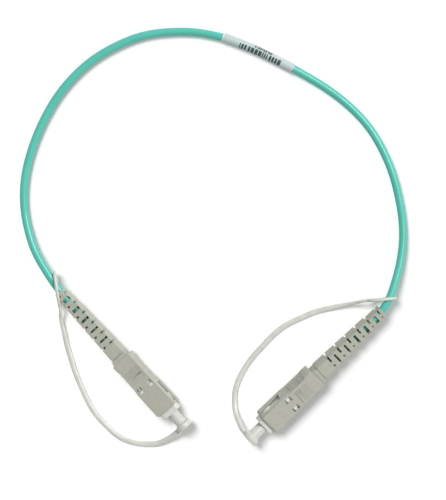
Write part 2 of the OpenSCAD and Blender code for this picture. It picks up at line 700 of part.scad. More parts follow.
// Strap from the lug to the eyelet, which is a long loop standing round the
// cable. Both are one skin: the strap's last ring joins a hole that is left
// open in the near end of the loop's wall.
module cap_tether(start, strap, eye) {
    along = unit(eye[1] - eye[0]);
    middle = (eye[0] + eye[1]) / 2;
    half = (eye[1] - eye[0]) / 2;
    route = concat(start, strap, [eye[0] - eyelet_d * along]);
    band = [for (i = [0:last_of(route)]) let (t = tangent(route, i))
        ring(route[i], t, level_side(t), flat_band(tether_w, tether_t))];
    loop = [for (i = [0:eyelet_rings - 1]) let (a = 180 + 360 * i / eyelet_rings)
        middle + half * bulge(cos(a)) + [0, 0, eyelet_rise * bulge(sin(a))]];
    strand = [for (i = [0:eyelet_rings - 1]) let (
        t = unit(loop[(i + 1) % eyelet_rings] - loop[(i + eyelet_rings - 1) % eyelet_rings]))
        ring(loop[i], t, level_side(along), circle_of(eyelet_d / 2, wire_sides, 180 / wire_sides))];
    // Rim of the hole as [ring, corner] of the strand, in the order of the band's corners
    m = eyelet_rings - 1;
    rim = [[0, 5], [m, 5], [m, 4], [m, 3], [0, 3], [1, 3], [1, 4], [1, 5]];
    n = cord_sides;
    last = last_of(band) * n;
    first = len(band) * n;
    rim_points = [for (r = rim) first + r[0] * wire_sides + r[1]];
    polyhedron([for (r = concat(band, strand)) each r], concat(
        [[for (j = [0:n - 1]) j]],
        wall(len(band), n),
        [for (j = [0:n - 1]) let (k = (j + 1) % n)
            each [[last + j, rim_points[k], last + k], [last + j, rim_points[j], rim_points[k]]]],
        [for (i = [0:m], j = [0:wire_sides - 1]) if (!((i == 0 || i == m) && (j == 3 || j == 4)))
            let (k = (i + 1) % eyelet_rings, q = (j + 1) % wire_sides,
                a = first + i * wire_sides, b = first + k * wire_sides)
            each [[a + j, b + q, a + q], [a + j, b + j, b + q]]]), convexity = 6);
}
// Fullness of the eyelet: a superellipse, a little squarer than an ellipse
function bulge(c) = sign(c) * pow(abs(c), 0.77);

// ---- Cable and label ----------------------------------------------------

jacket_r = cable_d / 2;
yarn_out = jacket_r - jacket_wall - hair;
yarn_in = fiber_d / 2 + running;
// The yarn spreads from inside the jacket to the space between post and sleeve
flat_factor = cos(180 / cord_sides);
post_yarn_out = sleeve_in_d / 2 - hair / 2;
post_yarn_in = (post_d / 2 + hair / 2) / flat_factor;
function yarn_radii(at_post, in_jacket) = [for (i = [0:last_of(yarn_route)])
    (i < 2 || i > last_of(yarn_route) - 2) ? at_post : in_jacket];

module cable_jacket() {
    pipe(route_rings(jacket_route, same(jacket_r, jacket_route)),
        route_rings(jacket_route, same(jacket_r - jacket_wall, jacket_route)));
}

module aramid_yarn() {
    pipe(route_rings(yarn_route, yarn_radii(post_yarn_out, yarn_out)),
        route_rings(yarn_route, yarn_radii(post_yarn_in, yarn_in)));
}

module buffered_fiber() {
    rod(route_rings(fiber_route, same(fiber_d / 2, fiber_route)));
}

// A wrap round the labelled stretch of the bow
module label_wrap(inner_r, outer_r) {
    pipe(route_rings(bow, same(outer_r, bow), label_first, label_last),
        route_rings(bow, same(inner_r, bow), label_first, label_last));
}

paper_r = jacket_r + hair;
clear_r = paper_r + label_t + hair;

// ---- Nodes --------------------------------------------------------------

module left_grip() { color(beige) on_left() grip(left_grip_on); }
module left_plug_frame() { color(natural_white) on_left() plug_frame(); }
module left_ferrule() { color(ceramic) on_left() ferrule(); }
module left_ferrule_flange() { color(nickel) on_left() ferrule_flange(); }
module left_spring() { color(steel) on_left() ferrule_spring(); }
module left_rear_body() { color(black_resin) on_left() rear_body(); }
module left_inner_tube() { color(natural_white) on_left() inner_tube(); }
module left_crimp_sleeve() { color(nickel) on_left() crimp_sleeve(); }
module left_boot() { color(beige) on_left() boot(); }
module left_dust_cap() { color(natural_white) on_left(cap_dip) dust_cap(); }
module left_cap_tether() {
    color(natural_white) cap_tether(strap_start(left_x, left_y, left_z, left_heading), left_strap, left_eye);
}

module right_grip() { color(beige) on_right() grip(right_grip_on); }
module right_plug_frame() { color(natural_white) on_right() plug_frame(); }
module right_ferrule() { color(ceramic) on_right() ferrule(); }
module right_ferrule_flange() { color(nickel) on_right() ferrule_flange(); }
module right_spring() { color(steel) on_right() ferrule_spring(); }
module right_rear_body() { color(black_resin) on_right() rear_body(); }
module right_inner_tube() { color(natural_white) on_right() inner_tube(); }
module right_crimp_sleeve() { color(nickel) on_right() crimp_sleeve(); }
module right_boot() { color(beige) on_right() boot(); }
module right_dust_cap() { color(natural_white) on_right(cap_dip) dust_cap(); }
module right_cap_tether() {
    color(natural_white) cap_tether(strap_start(right_x, right_y, right_z, right_heading), right_strap, right_eye);
}

module label_paper() { color(label_blue) label_wrap(paper_r, paper_r + label_t); }
module label_sleeve() { color(clear) label_wrap(clear_r, clear_r + clear_wall); }

left_grip();
left_plug_frame();
left_ferrule();
left_ferrule_flange();
left_spring();
left_rear_body();
left_inner_tube();
left_crimp_sleeve();
left_boot();
left_dust_cap();
left_cap_tether();
right_grip();
right_plug_frame();
right_ferrule();
right_ferrule_flange();
right_spring();
right_rear_body();
right_inner_tube();
right_crimp_sleeve();
right_boot();
right_dust_cap();
right_cap_tether();
color(aqua) cable_jacket();
color(yarn_yellow) aramid_yarn();
color(label_blue) buffered_fiber();
label_paper();
label_sleeve();
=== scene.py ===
# %% [markdown]
# # A simplex fibre optic patch cord
#
# A patch cord is a short cable with a plug on each end. This one is a 3 mm multimode
# cable with square push-pull plugs, slotted strain-relief boots, dust caps on tethers
# and a marker label under a clear sleeve.
#
# The rigid parts come from the CAD model, which this script loads as a fixed frame. The
# script adds what CAD leaves plain: a cable that bends smoothly, tethers, springs, turned
# and moulded parts with rounded edges, a printed label, and the finish of every surface.

# %% Load the frame
import json
import math

import bmesh
import bpy
import numpy as np
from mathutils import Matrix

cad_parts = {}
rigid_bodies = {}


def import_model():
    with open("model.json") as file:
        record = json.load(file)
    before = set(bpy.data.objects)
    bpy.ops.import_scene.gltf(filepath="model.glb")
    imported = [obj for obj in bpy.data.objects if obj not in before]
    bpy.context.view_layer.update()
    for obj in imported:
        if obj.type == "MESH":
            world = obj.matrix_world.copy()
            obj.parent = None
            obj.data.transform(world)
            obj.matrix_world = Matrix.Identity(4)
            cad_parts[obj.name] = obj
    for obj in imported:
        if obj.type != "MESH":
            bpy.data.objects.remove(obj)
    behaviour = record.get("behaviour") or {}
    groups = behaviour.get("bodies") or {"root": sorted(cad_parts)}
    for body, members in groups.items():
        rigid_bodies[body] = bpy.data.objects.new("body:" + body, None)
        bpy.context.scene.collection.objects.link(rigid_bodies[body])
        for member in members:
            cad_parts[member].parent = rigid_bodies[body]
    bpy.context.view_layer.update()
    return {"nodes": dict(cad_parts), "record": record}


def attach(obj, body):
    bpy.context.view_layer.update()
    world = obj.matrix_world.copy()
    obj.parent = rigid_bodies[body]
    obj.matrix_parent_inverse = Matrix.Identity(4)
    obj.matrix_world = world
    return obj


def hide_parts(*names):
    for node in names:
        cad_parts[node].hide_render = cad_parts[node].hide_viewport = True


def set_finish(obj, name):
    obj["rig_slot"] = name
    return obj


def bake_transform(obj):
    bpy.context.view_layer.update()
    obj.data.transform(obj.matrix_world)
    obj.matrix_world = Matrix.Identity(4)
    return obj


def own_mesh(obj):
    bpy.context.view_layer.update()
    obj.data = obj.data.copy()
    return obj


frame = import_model()

# %% [markdown]
# ## Units
#
# Blender works in metres here, as the frame does. The sizes of so small an object are
# easier to read in millimetres, so every size below is written in millimetres and turned
# into metres once, where a mesh is made.

# %% Units
MM = 0.001


def unit(vectors):
    """Each vector divided by its length."""
    return vectors / np.linalg.norm(vectors, axis=-1, keepdims=True)


# %% [markdown]
# ## Camera
#
# The cord lies flat and is looked at from straight above. A long lens from three quarters
# of a metre away keeps the plugs free of perspective. A new camera in Blender looks down
# along -Z with +Y up in the picture, so it only needs its place.

# %% Camera
camera_data = bpy.data.cameras.new("camera")
camera_data.lens = 144.0
camera_data.clip_start, camera_data.clip_end = 0.05, 10.0
camera = bpy.data.objects.new("camera", camera_data)
camera.location = (0.75 * MM, 43.8 * MM, 758 * MM)
bpy.context.scene.collection.objects.link(camera)
bpy.context.scene.camera = camera
print("camera height, mm:", round(camera.location.z / MM))

# %% [markdown]
# ## Smooth lines
#
# A cable takes the shape of a bent elastic rod, and a natural cubic spline is a close
# stand-in for that: it passes through every point with the least bending. A Bezier curve
# object could do the same, but points worked out here can also carry a label, a yarn and
# a print at exact distances along the cable.

# %% Spline through points
def smooth_line(points, step, lowest):
    """Natural cubic spline through the points, resampled at an even step.

    The parameter is the distance from point to point. The second derivatives m solve
    h[i-1] m[i-1] + 2 (h[i-1] + h[i]) m[i] + h[i] m[i+1] = 6 times the change of slope,
    and are 0 at both ends. No point of the result lies below lowest.
    """
    p = np.asarray(points, float)
    t = np.concatenate([[0], np.cumsum(np.linalg.norm(np.diff(p, axis=0), axis=1))])
    h = np.diff(t)
    n = len(p)
    inner = np.arange(1, n - 1)
    matrix = np.eye(n)
    matrix[inner, inner - 1] = h[:-1]
    matrix[inner, inner] = 2 * (h[:-1] + h[1:])
    matrix[inner, inner + 1] = h[1:]
    change = np.zeros_like(p)
    change[1:-1] = 6 * np.diff(np.diff(p, axis=0) / h[:, None], axis=0)
    m = np.linalg.solve(matrix, change)
    fine = np.linspace(0, t[-1], 4 * int(t[-1] / step) + 1)
    k = np.clip(np.searchsorted(t, fine, side="right") - 1, 0, n - 2)
    u, w, hk = (fine - t[k])[:, None], (t[k + 1] - fine)[:, None], h[k][:, None]
    line = (m[k] * w**3 + m[k + 1] * u**3) / (6 * hk)
    line += (p[k] / hk - m[k] * hk / 6) * w + (p[k + 1] / hk - m[k + 1] * hk / 6) * u
    line[:, 2] = np.maximum(line[:, 2], lowest)
    along = distances(line)
    even = np.linspace(0, along[-1], round(along[-1] / step) + 1)
    return np.stack([np.interp(even, along, line[:, c]) for c in range(3)], axis=1)


def distances(line):
    """Distance along a line to each of its points."""
    return np.concatenate([[0], np.cumsum(np.linalg.norm(np.diff(line, axis=0), axis=1))])


# %% [markdown]
# ## Grids and sweeps
#
# Nearly every new piece here is one grid of points. A swept piece sets an outline square
# to a line at each of its points, and quads join the rows. A hollow piece is a closed
# grid too: its rows run out along the outer wall and back along the inner one. A curve
# object with a bevel sweeps an outline as well, but a grid also takes one that changes
# on the way, as the yarn's and the straps' do.

# %% Grid helpers
def quads(rows, cols, first=0, round_rows=False, round_cols=True):
    """Quads between neighbouring rows and columns, which may close on themselves."""
    r, c = np.meshgrid(
        np.arange(rows if round_rows else rows - 1),
        np.arange(cols if round_cols else cols - 1),
        indexing="ij",
    )
    near, far = r * cols, (r + 1) % rows * cols
    left, right = c, (c + 1) % cols
    corners = np.stack([near + left, near + right, far + right, far + left], axis=-1)
    return first + corners.reshape(-1, 4)


def circle(radius, sides):
    """Points of a circle: the radius times (cos a, sin a), at even angles."""
    a = 2 * math.pi * np.arange(sides) / sides
    return radius * np.stack([np.cos(a), np.sin(a)], axis=-1)


def sweep(line, outline):
    """Outline set square to the line at each point: x goes level to the left, y goes up.

    The outline is the same all along, or there is one for each point of the line.
    """
    ahead = unit(np.gradient(line, axis=0))
    left = unit(np.cross([0, 0, 1], ahead))
    up = np.cross(ahead, left)
    outline = np.broadcast_to(outline, (len(line), *np.shape(outline)[-2:]))
    return line[:, None] + outline[..., :1] * left[:, None] + outline[..., 1:] * up[:, None]


# %% [markdown]
# ## From points to a Blender piece
#
# A mesh has to be closed, with its faces outwards, before it can be printed, baked or
# exported well. So one function takes the points in millimetres, merges the ones that
# fall together at poles and seams, turns the faces outwards if the signed volume is
# negative, and marks the edges that stay crisp.

# %% Piece helpers
def join_up(mesh, gap=1e-4 * MM):
    """Merges points that fall together and turns the faces outwards."""
    bm = bmesh.new()
    bm.from_mesh(mesh)
    bmesh.ops.remove_doubles(bm, verts=bm.verts, dist=gap)
    if bm.calc_volume(signed=True) < 0:
        bmesh.ops.reverse_faces(bm, faces=bm.faces)
    bm.to_mesh(mesh)
    bm.free()


def new_piece(name, points, faces, body, crisp=40, uv=None):
    """A mesh object from points in mm, riding on a body.

    Edges sharper than crisp degrees stay crisp.
    """
    mesh = bpy.data.meshes.new(name)
    places = (np.reshape(points, (-1, 3)) * MM).tolist()
    mesh.from_pydata(places, [], [list(map(int, f)) for f in faces])
    if uv is not None:
        mesh.uv_layers.new(name="UVMap").data.foreach_set("uv", np.ravel(uv).astype(np.float32))
    join_up(mesh)
    mesh.shade_smooth()
    mesh.set_sharp_from_angle(angle=math.radians(crisp))
    piece = bpy.data.objects.new(name, mesh)
    bpy.context.scene.collection.objects.link(piece)
    if body:
        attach(piece, body)
    print(f"{name}: {len(mesh.vertices)} points, {len(mesh.polygons)} faces")
    return piece


def corner_uv(rows, cols, row_size, col_size, round_rows=False):
    """UV in mm for the corners of quads(): rows along u, columns round v, unbroken at the seam."""
    r, c = np.meshgrid(
        np.arange(rows if round_rows else rows - 1), np.arange(cols), indexing="ij"
    )
    u = np.stack([r, r, r + 1, r + 1], axis=-1) * row_size
    v = np.stack([c, c + 1, c + 1, c], axis=-1) * col_size
    return np.stack([u, v], axis=-1)


# %% [markdown]
# ## Where the plugs lie
#
# Each plug has its own frame: X runs along the plug towards its dust cap, X = 0 is the
# front face of the plug frame, and Z is the side without the key. The record says where
# that front face is and which way it points. The roll about X is how the plug rests on
# the table. Distances "behind" count along -X.

# %% Plug frames
# Degrees about X of each plug, and of the place on a cap's rim where its strap leaves it
PLUG_ROLL = {"left": 11, "right": -26}
CAP_DIP = 12
plug_front, plug_ahead = {}, {}
for mount in frame["record"]["mounts"]:
    side = mount["name"].split("_")[0]
    plug_front[side] = np.array(mount["pos_m"], float) / MM
    plug_ahead[side] = np.array(mount["axis"], float)
print("plug fronts, mm:", {side: front.round(1).tolist() for side, front in plug_front.items()})


def on_plug(side, points, roll):
    """Points of a plug's own frame, rolled about its axis, in the row frame. All in mm."""
    ahead = plug_ahead[side]
    left = np.cross([0, 0, 1], ahead)
    c, s = math.cos(math.radians(roll)), math.sin(math.radians(roll))
    across = c * left + s * np.array([0, 0, 1])
    over = -s * left + c * np.array([0, 0, 1])
    return plug_front[side] + np.asarray(points, float) @ np.stack([ahead, across, over])


def axis_points(side, behind):
    """Points on a plug's axis at distances behind its front."""
    return plug_front[side] - np.outer(behind, plug_ahead[side])


# %% [markdown]
# ## The cable
#
# A 3 mm simplex cable has three layers: a soft jacket, a loose sleeve of aramid yarn that
# takes the pull, and a fibre in a 0.9 mm tight buffer. It leaves the crimp inside the
# left boot, comes down to the table, lies in one open bow under its own stiffness, and
# rises into the right boot. It lifts a little where the label's sleeve is wrapped round
# it. The points are those of the CAD route.

# %% Cable route
CABLE_D = 3.0
JACKET_WALL = 0.5
FIBER_D = 0.9
HAIR = 0.05
LABEL_T = 0.12
CLEAR_WALL = 0.3
LOW = CABLE_D / 2
LABEL_LOW = LOW + LABEL_T + CLEAR_WALL + 2 * HAIR
# Distances behind a plug's front: the jacket's end, the crimp sleeve's end, the boot's tail
JACKET_BEHIND = 29.0
SLEEVE_END = 31.2
BOOT_END = 62.3
BOW = np.array([
    [-62.4, 30.6, 4.3], [-66.1, 36.1, 3.8], [-70.0, 42.9, 2.9], [-72.6, 50.2, 2.1],
    [-74.2, 57.9, LOW], [-74.6, 65.7, LOW], [-73.8, 73.4, LOW], [-72.0, 80.6, LOW],
    [-69.5, 87.6, LOW], [-66.5, 94.1, LOW], [-63.0, 100.2, LOW], [-58.9, 105.8, LOW],
    [-54.3, 110.8, LOW], [-49.2, 115.2, LOW], [-43.7, 118.8, LOW], [-38.1, 121.7, LOW],
    [-32.4, 124.0, LOW], [-26.5, 125.5, LOW], [-20.6, 126.2, LOW], [-14.8, 126.4, LOW],
    [-9.2, 126.1, LOW], [-3.8, 125.2, LOW + 0.2], [1.4, 123.9, LABEL_LOW],
    [6.9, 121.9, LABEL_LOW], [14.7, 118.6, LABEL_LOW], [21.9, 115.0, LABEL_LOW],
    [27.3, 112.3, LABEL_LOW], [32.4, 109.5, LOW + 0.2], [37.3, 106.6, LOW],
    [41.9, 103.5, LOW], [46.9, 99.6, LOW], [51.6, 95.2, LOW], [55.9, 90.2, LOW],
    [59.5, 84.6, LOW], [62.7, 78.2, LOW], [65.3, 71.2, LOW], [67.2, 63.7, LOW],
    [68.5, 55.6, LOW], [68.7, 47.2, 2.0], [67.5, 38.7, 2.9], [65.4, 31.0, 4.0],
    [63.9, 26.8, 4.6], [62.2, 23.4, 5.0],
])
# Places in the bow where the label starts and ends
LABEL_FIRST, LABEL_LAST = 22, 26


def cable_line(first_behind, step):
    """Centreline of a cable layer that starts and ends at one distance behind each plug's front."""
    inside = np.linspace(first_behind, BOOT_END - 0.3, 6)
    route = np.concatenate([axis_points("left", inside), BOW, axis_points("right", inside[::-1])])
    return smooth_line(route, step, LOW)


# %% Cable layers
def hollow_sweep(name, line, outer, inner, body, uv_size):
    """A tube with a wall: rows run along the outer outline and back along the inner one."""
    grid = np.concatenate([sweep(line, outer), sweep(line, inner)[::-1]])
    rows, cols = grid.shape[:2]
    uv = corner_uv(rows, cols, *uv_size, round_rows=True)
    return new_piece(name, grid, quads(rows, cols, round_rows=True), body, crisp=50, uv=uv)


CABLE_STEP = 0.8
JACKET_SIDES = 40
jacket_line = cable_line(JACKET_BEHIND, CABLE_STEP)
around = math.pi * CABLE_D / JACKET_SIDES
cable_jacket = hollow_sweep(
    "jacket", jacket_line, circle(CABLE_D / 2, JACKET_SIDES),
    circle(CABLE_D / 2 - JACKET_WALL, JACKET_SIDES), "root", (CABLE_STEP, around),
)
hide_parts("cable_jacket")
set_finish(cable_jacket, "aqua_jacket")
print("cable between the two crimps, mm:", round(distances(jacket_line)[-1], 1))

# %% [markdown]
# Aramid yarn comes as a dozen loose bundles laid round the fibre in a long, lazy twist.
# Their outline is a circle whose radius rises and falls once for each bundle, and it
# turns as it goes along. At each end the yarn spreads out over the crimp post, where the
# crimp sleeve clamps it.

# %% Yarn and fibre
POST_D = 2.4
SLEEVE_BORE = CABLE_D + 0.3
YARN_BUNDLES = 12
YARN_SIDES = 48
YARN_LAY = 60.0
YARN_GROOVE = 0.05
YARN_STEP = 1.0
POST_BEHIND = 22.5
POST_END = 27.5
YARN_BEHIND = POST_BEHIND + 0.6
SPREAD_FROM, SPREAD_TO = JACKET_BEHIND - 0.1, POST_END + 0.5

yarn_line = cable_line(YARN_BEHIND, YARN_STEP)
run = distances(yarn_line)
from_end = np.minimum(run, run[-1] - run) + YARN_BEHIND
spread = np.clip((SPREAD_FROM - from_end) / (SPREAD_FROM - SPREAD_TO), 0, 1)[:, None]
angle = 2 * math.pi * np.arange(YARN_SIDES) / YARN_SIDES
wave = np.cos(YARN_BUNDLES * (angle[None] + 2 * math.pi * run[:, None] / YARN_LAY))
in_jacket = CABLE_D / 2 - JACKET_WALL - HAIR - YARN_GROOVE * (1 - wave)
over_post = SLEEVE_BORE / 2 - HAIR - YARN_GROOVE * (1 - wave)
outer_r = (1 - spread) * in_jacket + spread * over_post
inner_r = (1 - spread) * (FIBER_D / 2 + 0.1) + spread * (POST_D / 2 + HAIR)
spokes = np.stack([np.cos(angle), np.sin(angle)], axis=-1)
aramid_yarn = hollow_sweep(
    "yarn", yarn_line, outer_r[..., None] * spokes,
    np.broadcast_to(inner_r[..., None], (*inner_r.shape, 1)) * spokes, "root",
    (YARN_STEP, math.pi * 2 / YARN_SIDES),
)
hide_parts("aramid_yarn")
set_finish(aramid_yarn, "aramid")


def rod(name, rings, body, uv=None):
    """A solid rod through rings of points, closed by a flat face at each end."""
    rows, cols = rings.shape[:2]
    faces = [*quads(rows, cols), np.arange(cols), np.arange(cols)[::-1] + (rows - 1) * cols]
    if uv is not None:
        uv = np.concatenate([np.reshape(uv, (-1, 2)), np.zeros((2 * cols, 2))])
    return new_piece(name, rings, faces, body, uv=uv)


FIBER_BEHIND = 8.3
fiber_line = cable_line(FIBER_BEHIND, YARN_STEP)
buffered_fiber = rod("fiber", sweep(fiber_line, circle(FIBER_D / 2, 20)), "root")
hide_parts("buffered_fiber")
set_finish(buffered_fiber, "fiber_buffer")

# %% [markdown]
# ## Label and clear sleeve
#
# The marker label is a strip of white film wrapped once round the cable. A clear sleeve
# is shrunk over it so that the print can't rub off. Both follow the same stretch of the
# cable's line. The film is one step longer at its first end, where it stands out of the
# sleeve as a thin white line.

# %% Label wrap
def nearest(line, point):
    """Place in a line of the point nearest to one given."""
    return int(np.argmin(np.linalg.norm(line - point, axis=1)))


LABEL_STEP = 0.4
LABEL_SIDES = 48
bow_line = smooth_line(BOW, LABEL_STEP, LOW)
label_from, label_to = (nearest(bow_line, BOW[i]) for i in (LABEL_FIRST, LABEL_LAST))
label_line = bow_line[label_from - 1:label_to + 1]
film_line = bow_line[label_from - 2:label_to + 1]
PAPER_R = CABLE_D / 2 + HAIR
CLEAR_R = PAPER_R + LABEL_T + HAIR
CLEAR_EDGE = 0.1
label_film = hollow_sweep(
    "label_film", film_line, circle(PAPER_R + LABEL_T, LABEL_SIDES), circle(PAPER_R, LABEL_SIDES),
    "root", (LABEL_STEP, 2 * math.pi * PAPER_R / LABEL_SIDES),
)
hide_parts("label_paper")
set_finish(label_film, "label_film")


def clear_wall_outline(line, radius, edge):
    """Circles whose radius drops by edge at the first and last ring, as a heated cut edge does."""
    radii = np.full(len(line), radius)
    radii[[0, -1]] -= edge
    return radii[:, None, None] * circle(1.0, LABEL_SIDES)[None]


clear_outer = clear_wall_outline(label_line, CLEAR_R + CLEAR_WALL, CLEAR_EDGE)
clear_sleeve = hollow_sweep(
    "label_sleeve_clear", label_line, clear_outer, circle(CLEAR_R, LABEL_SIDES),
    "root", (LABEL_STEP, 2 * math.pi * CLEAR_R / LABEL_SIDES),
)
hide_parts("label_sleeve")
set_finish(clear_sleeve, "clear_sleeve")
print("label film and sleeve, mm:", [round(distances(x)[-1], 1) for x in (film_line, label_line)])

# %% [markdown]
# ## Print on the label
#
# The print is generic: a field of plain bars whose widths follow a counting rule, and a
# row of the ten digits built from straight strokes. Each mark is a small patch laid on
# the film by its distance along the cable and its angle round it, then given the
# thickness of dried ink. A strip is seldom wrapped quite straight, so the bars turn a
# little round the cable from one end of their field to the other. An image on the film
# would be quicker, but marks with a shape of their own stay sharp from close by.

# %% Label print
# Places in mm along the label, angles in degrees from its top, widths in bar modules
INK_T = 0.012
BAR_FIELD = (6.5, 24.4)
BAR_ANGLE = (-72, 6)
BAR_TWIST = 12
BAR_MODULE = 0.36
BAR_LEAST = 1.3
DIGITS_AT = 12.2
DIGIT_PITCH = 0.72
DIGIT_W = 0.8 * DIGIT_PITCH
DIGIT_ANGLE = (24, 66)
STROKES = {"0": "abcdef", "1": "bc", "2": "abged", "3": "abgcd", "4": "fgbc",
           "5": "afgcd", "6": "afgedc", "7": "abc", "8": "abcdefg", "9": "abcdfg"}
STROKE_BOXES = {
    "a": (0, 1, 0.74, 1), "b": (0.6, 1, 0.5, 1), "c": (0.6, 1, 0, 0.5), "d": (0, 1, 0, 0.26),
    "e": (0, 0.4, 0, 0.5), "f": (0, 0.4, 0.5, 1), "g": (0, 1, 0.37, 0.63),
}


def bar_spans(start, stop):
    """Starts and ends of bars about one to three modules wide, one or at times two apart."""
    spans, at, i = [], start, 0
    while at < stop - 3 * BAR_MODULE:
        width = (BAR_LEAST + (i * i + i // 3) % 3) * BAR_MODULE
        spans.append((at, at + width))
        at += width + (1 + (i % 7 == 2)) * BAR_MODULE
        i += 1
    return spans


spans = np.array(bar_spans(*BAR_FIELD))
twist = BAR_TWIST * (spans.mean(axis=1) - BAR_FIELD[0]) / (BAR_FIELD[1] - BAR_FIELD[0])
marks = [
    (*span, BAR_ANGLE[0] + turn, BAR_ANGLE[1] + turn)
    for span, turn in zip(spans.tolist(), twist.tolist())
]
for place, strokes in enumerate(STROKES.values()):
    left = DIGITS_AT + place * DIGIT_PITCH
    for x0, x1, y0, y1 in (STROKE_BOXES[name] for name in strokes):
        low_angle, high_angle = DIGIT_ANGLE
        marks.append((
            left + x0 * DIGIT_W, left + x1 * DIGIT_W,
            low_angle + y0 * (high_angle - low_angle), low_angle + y1 * (high_angle - low_angle),
        ))


def on_label(run, degrees, radius):
    """Points on the label at distances along it and angles from its top, outer side positive."""
    at = distances(label_line)
    centre = np.stack([np.interp(run, at, label_line[:, c]) for c in range(3)], axis=-1)
    slope = [np.interp(run, at, np.gradient(label_line[:, c])) for c in range(3)]
    ahead = unit(np.stack(slope, axis=-1))
    left = unit(np.cross([0, 0, 1], ahead))
    up = np.cross(ahead, left)
    a = np.radians(degrees)[..., None]
    return centre + radius * (np.sin(a) * left + np.cos(a) * up)


PATCH_ROWS, PATCH_COLS = 3, 9
share_u, share_v = np.meshgrid(
    np.linspace(0, 1, PATCH_ROWS), np.linspace(0, 1, PATCH_COLS), indexing="ij"
)
box = np.array(marks)[:, :, None, None]
patch_run = box[:, 0] + (box[:, 1] - box[:, 0]) * share_u
patch_angle = box[:, 2] + (box[:, 3] - box[:, 2]) * share_v
ink_points = on_label(patch_run, patch_angle, PAPER_R + LABEL_T + HAIR / 2)
patch = quads(PATCH_ROWS, PATCH_COLS, round_cols=False)
first_points = PATCH_ROWS * PATCH_COLS * np.arange(len(marks))
ink_faces = (patch[None] + first_points[:, None, None]).reshape(-1, 4)
label_print = new_piece("label_print", ink_points, ink_faces, "root", crisp=60)
ink_wall = label_print.modifiers.new("ink thickness", "SOLIDIFY")
ink_wall.thickness, ink_wall.offset = INK_T * MM, 0.0
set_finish(label_print, "label_film")

# %% [markdown]
# ## Tethers
#
# Cap, strap and eyelet are one soft polyethylene moulding. The strap lies on the table
# and ends in an eyelet, a long loop that is buttoned round the cable. One cage of quads
# makes the whole tether: rings along the strap, rings round the loop's strand, and a hole
# in the strand's wall that takes the strap's last ring. Subdivision then rounds the cage,
# so the strap flows into the loop as the moulding does. Rounding pulls an outline inwards,
# and the cage's outline is worked out so that it comes back to the wanted size. The
# routes follow those of the CAD model to within a millimetre.

# %% Tether sizes and routes
TETHER_W, TETHER_T = 2.0, 0.9
# Length over which the strap narrows to its end's width and thickness at the loop
TAPER, END_W, END_T = 18.0, 1.2, 1.05
# How much thicker the strap starts at the cap's rim, over what length, and its first points
ROOT_FLARE, ROOT_LENGTH = 1.1, 4.0
ROOT_REACHES = (-0.35, 0.1, 0.7, 1.4)
STRAP_Z = TETHER_T / 2 + 0.03
EYELET_D, EYELET_RISE, EYELET_POWER = 1.2, 2.8, 0.9
# How much thicker the loop's strand is beside the strap, and over about how many rings
ROOT_SWELL, SWELL_RINGS = 0.25, 1.6
CAP_OUT, CAP_RIM_T, CAP_RIM_D = 7.6, 2.1, 6.6
LUG_X = CAP_OUT - CAP_RIM_T / 2
STRAP_ROUTE = {
    "left": [
        [-19.3, -27.0, 2.4], [-22.9, -29.0, 1.2], [-26.8, -29.7, 0.6],
        [-30.7, -29.6, STRAP_Z], [-34.6, -28.7, STRAP_Z], [-38.8, -26.9, STRAP_Z],
        [-42.8, -23.4, STRAP_Z], [-47.0, -19.0, STRAP_Z], [-50.2, -14.0, STRAP_Z],
        [-52.7, -8.6, STRAP_Z], [-55.0, -3.1, STRAP_Z], [-56.7, 2.2, STRAP_Z],
        [-58.4, 8.0, 0.6], [-59.7, 13.8, 1.3], [-60.6, 19.1, 2.8],
    ],
    "right": [
        [7.2, -22.1, 3.4], [6.1, -19.6, 2.2], [5.3, -16.6, 1.2], [5.1, -12.9, 0.6],
        [5.4, -9.1, STRAP_Z], [6.6, -5.4, STRAP_Z], [8.5, -1.7, STRAP_Z],
        [10.8, 1.9, STRAP_Z], [13.5, 5.1, STRAP_Z], [16.7, 8.6, STRAP_Z],
        [20.5, 12.4, STRAP_Z], [24.9, 15.6, STRAP_Z], [29.9, 18.0, STRAP_Z],
        [35.6, 20.4, STRAP_Z], [41.2, 21.8, 0.7], [46.8, 23.1, 1.7], [52.0, 24.2, 3.6],
    ],
}
EYELET_ENDS = {
    "left": np.array([[-60.8, 23.0, 4.1], [-62.7, 35.3, 4.1]]),
    "right": np.array([[55.7, 24.8, 4.8], [65.5, 25.6, 4.8]]),
}


# %% Tether cage
def cage_of(outline):
    """Cage whose rounded form passes through the outline.

    Each rounded point is (before + 4 own + after) / 6, and that is solved for the cage.
    """
    n = len(outline)
    own = np.eye(n)
    mixing = (4 * own + np.roll(own, 1, axis=1) + np.roll(own, -1, axis=1)) / 6
    return np.linalg.solve(mixing, outline)


def strap_cages(line):
    """Cages of the strap's rings: a lens-shaped band that narrows towards the loop.

    The band keeps its width and thickness until TAPER mm before its end. From there the
    share s of its full size runs from 1 to 0, eased as 3 s^2 - 2 s^3. Over its first
    ROOT_LENGTH mm it thins out from the cap's rim, as 1 + ROOT_FLARE (1 - run / length)^2.
    """
    w, t = TETHER_W, TETHER_T
    band = np.array([[w / 2, 0], [0.34 * w, 0.34 * t], [0, t / 2], [-0.34 * w, 0.34 * t],
                     [-w / 2, 0], [-0.34 * w, -0.34 * t], [0, -t / 2], [0.34 * w, -0.34 * t]])
    run = distances(line)
    share = np.clip((run[-1] - run) / TAPER, 0, 1)
    share = 3 * share**2 - 2 * share**3
    flare = 1 + ROOT_FLARE * np.clip(1 - run / ROOT_LENGTH, 0, 1) ** 2
    wide = share + (1 - share) * END_W / w
    thick = flare * share + (1 - share) * END_T / t
    scale = np.stack([wide, thick], axis=1)
    return cage_of(band) * scale[:, None]


# %% Eyelet
def fullness(c):
    """A superellipse's share of its half length: the sign of c times |c| to a power below 1."""
    return np.sign(c) * np.abs(c) ** EYELET_POWER


LOOP_RINGS, STRAND_SIDES = 44, 8
STRAP_STEP = 1.5


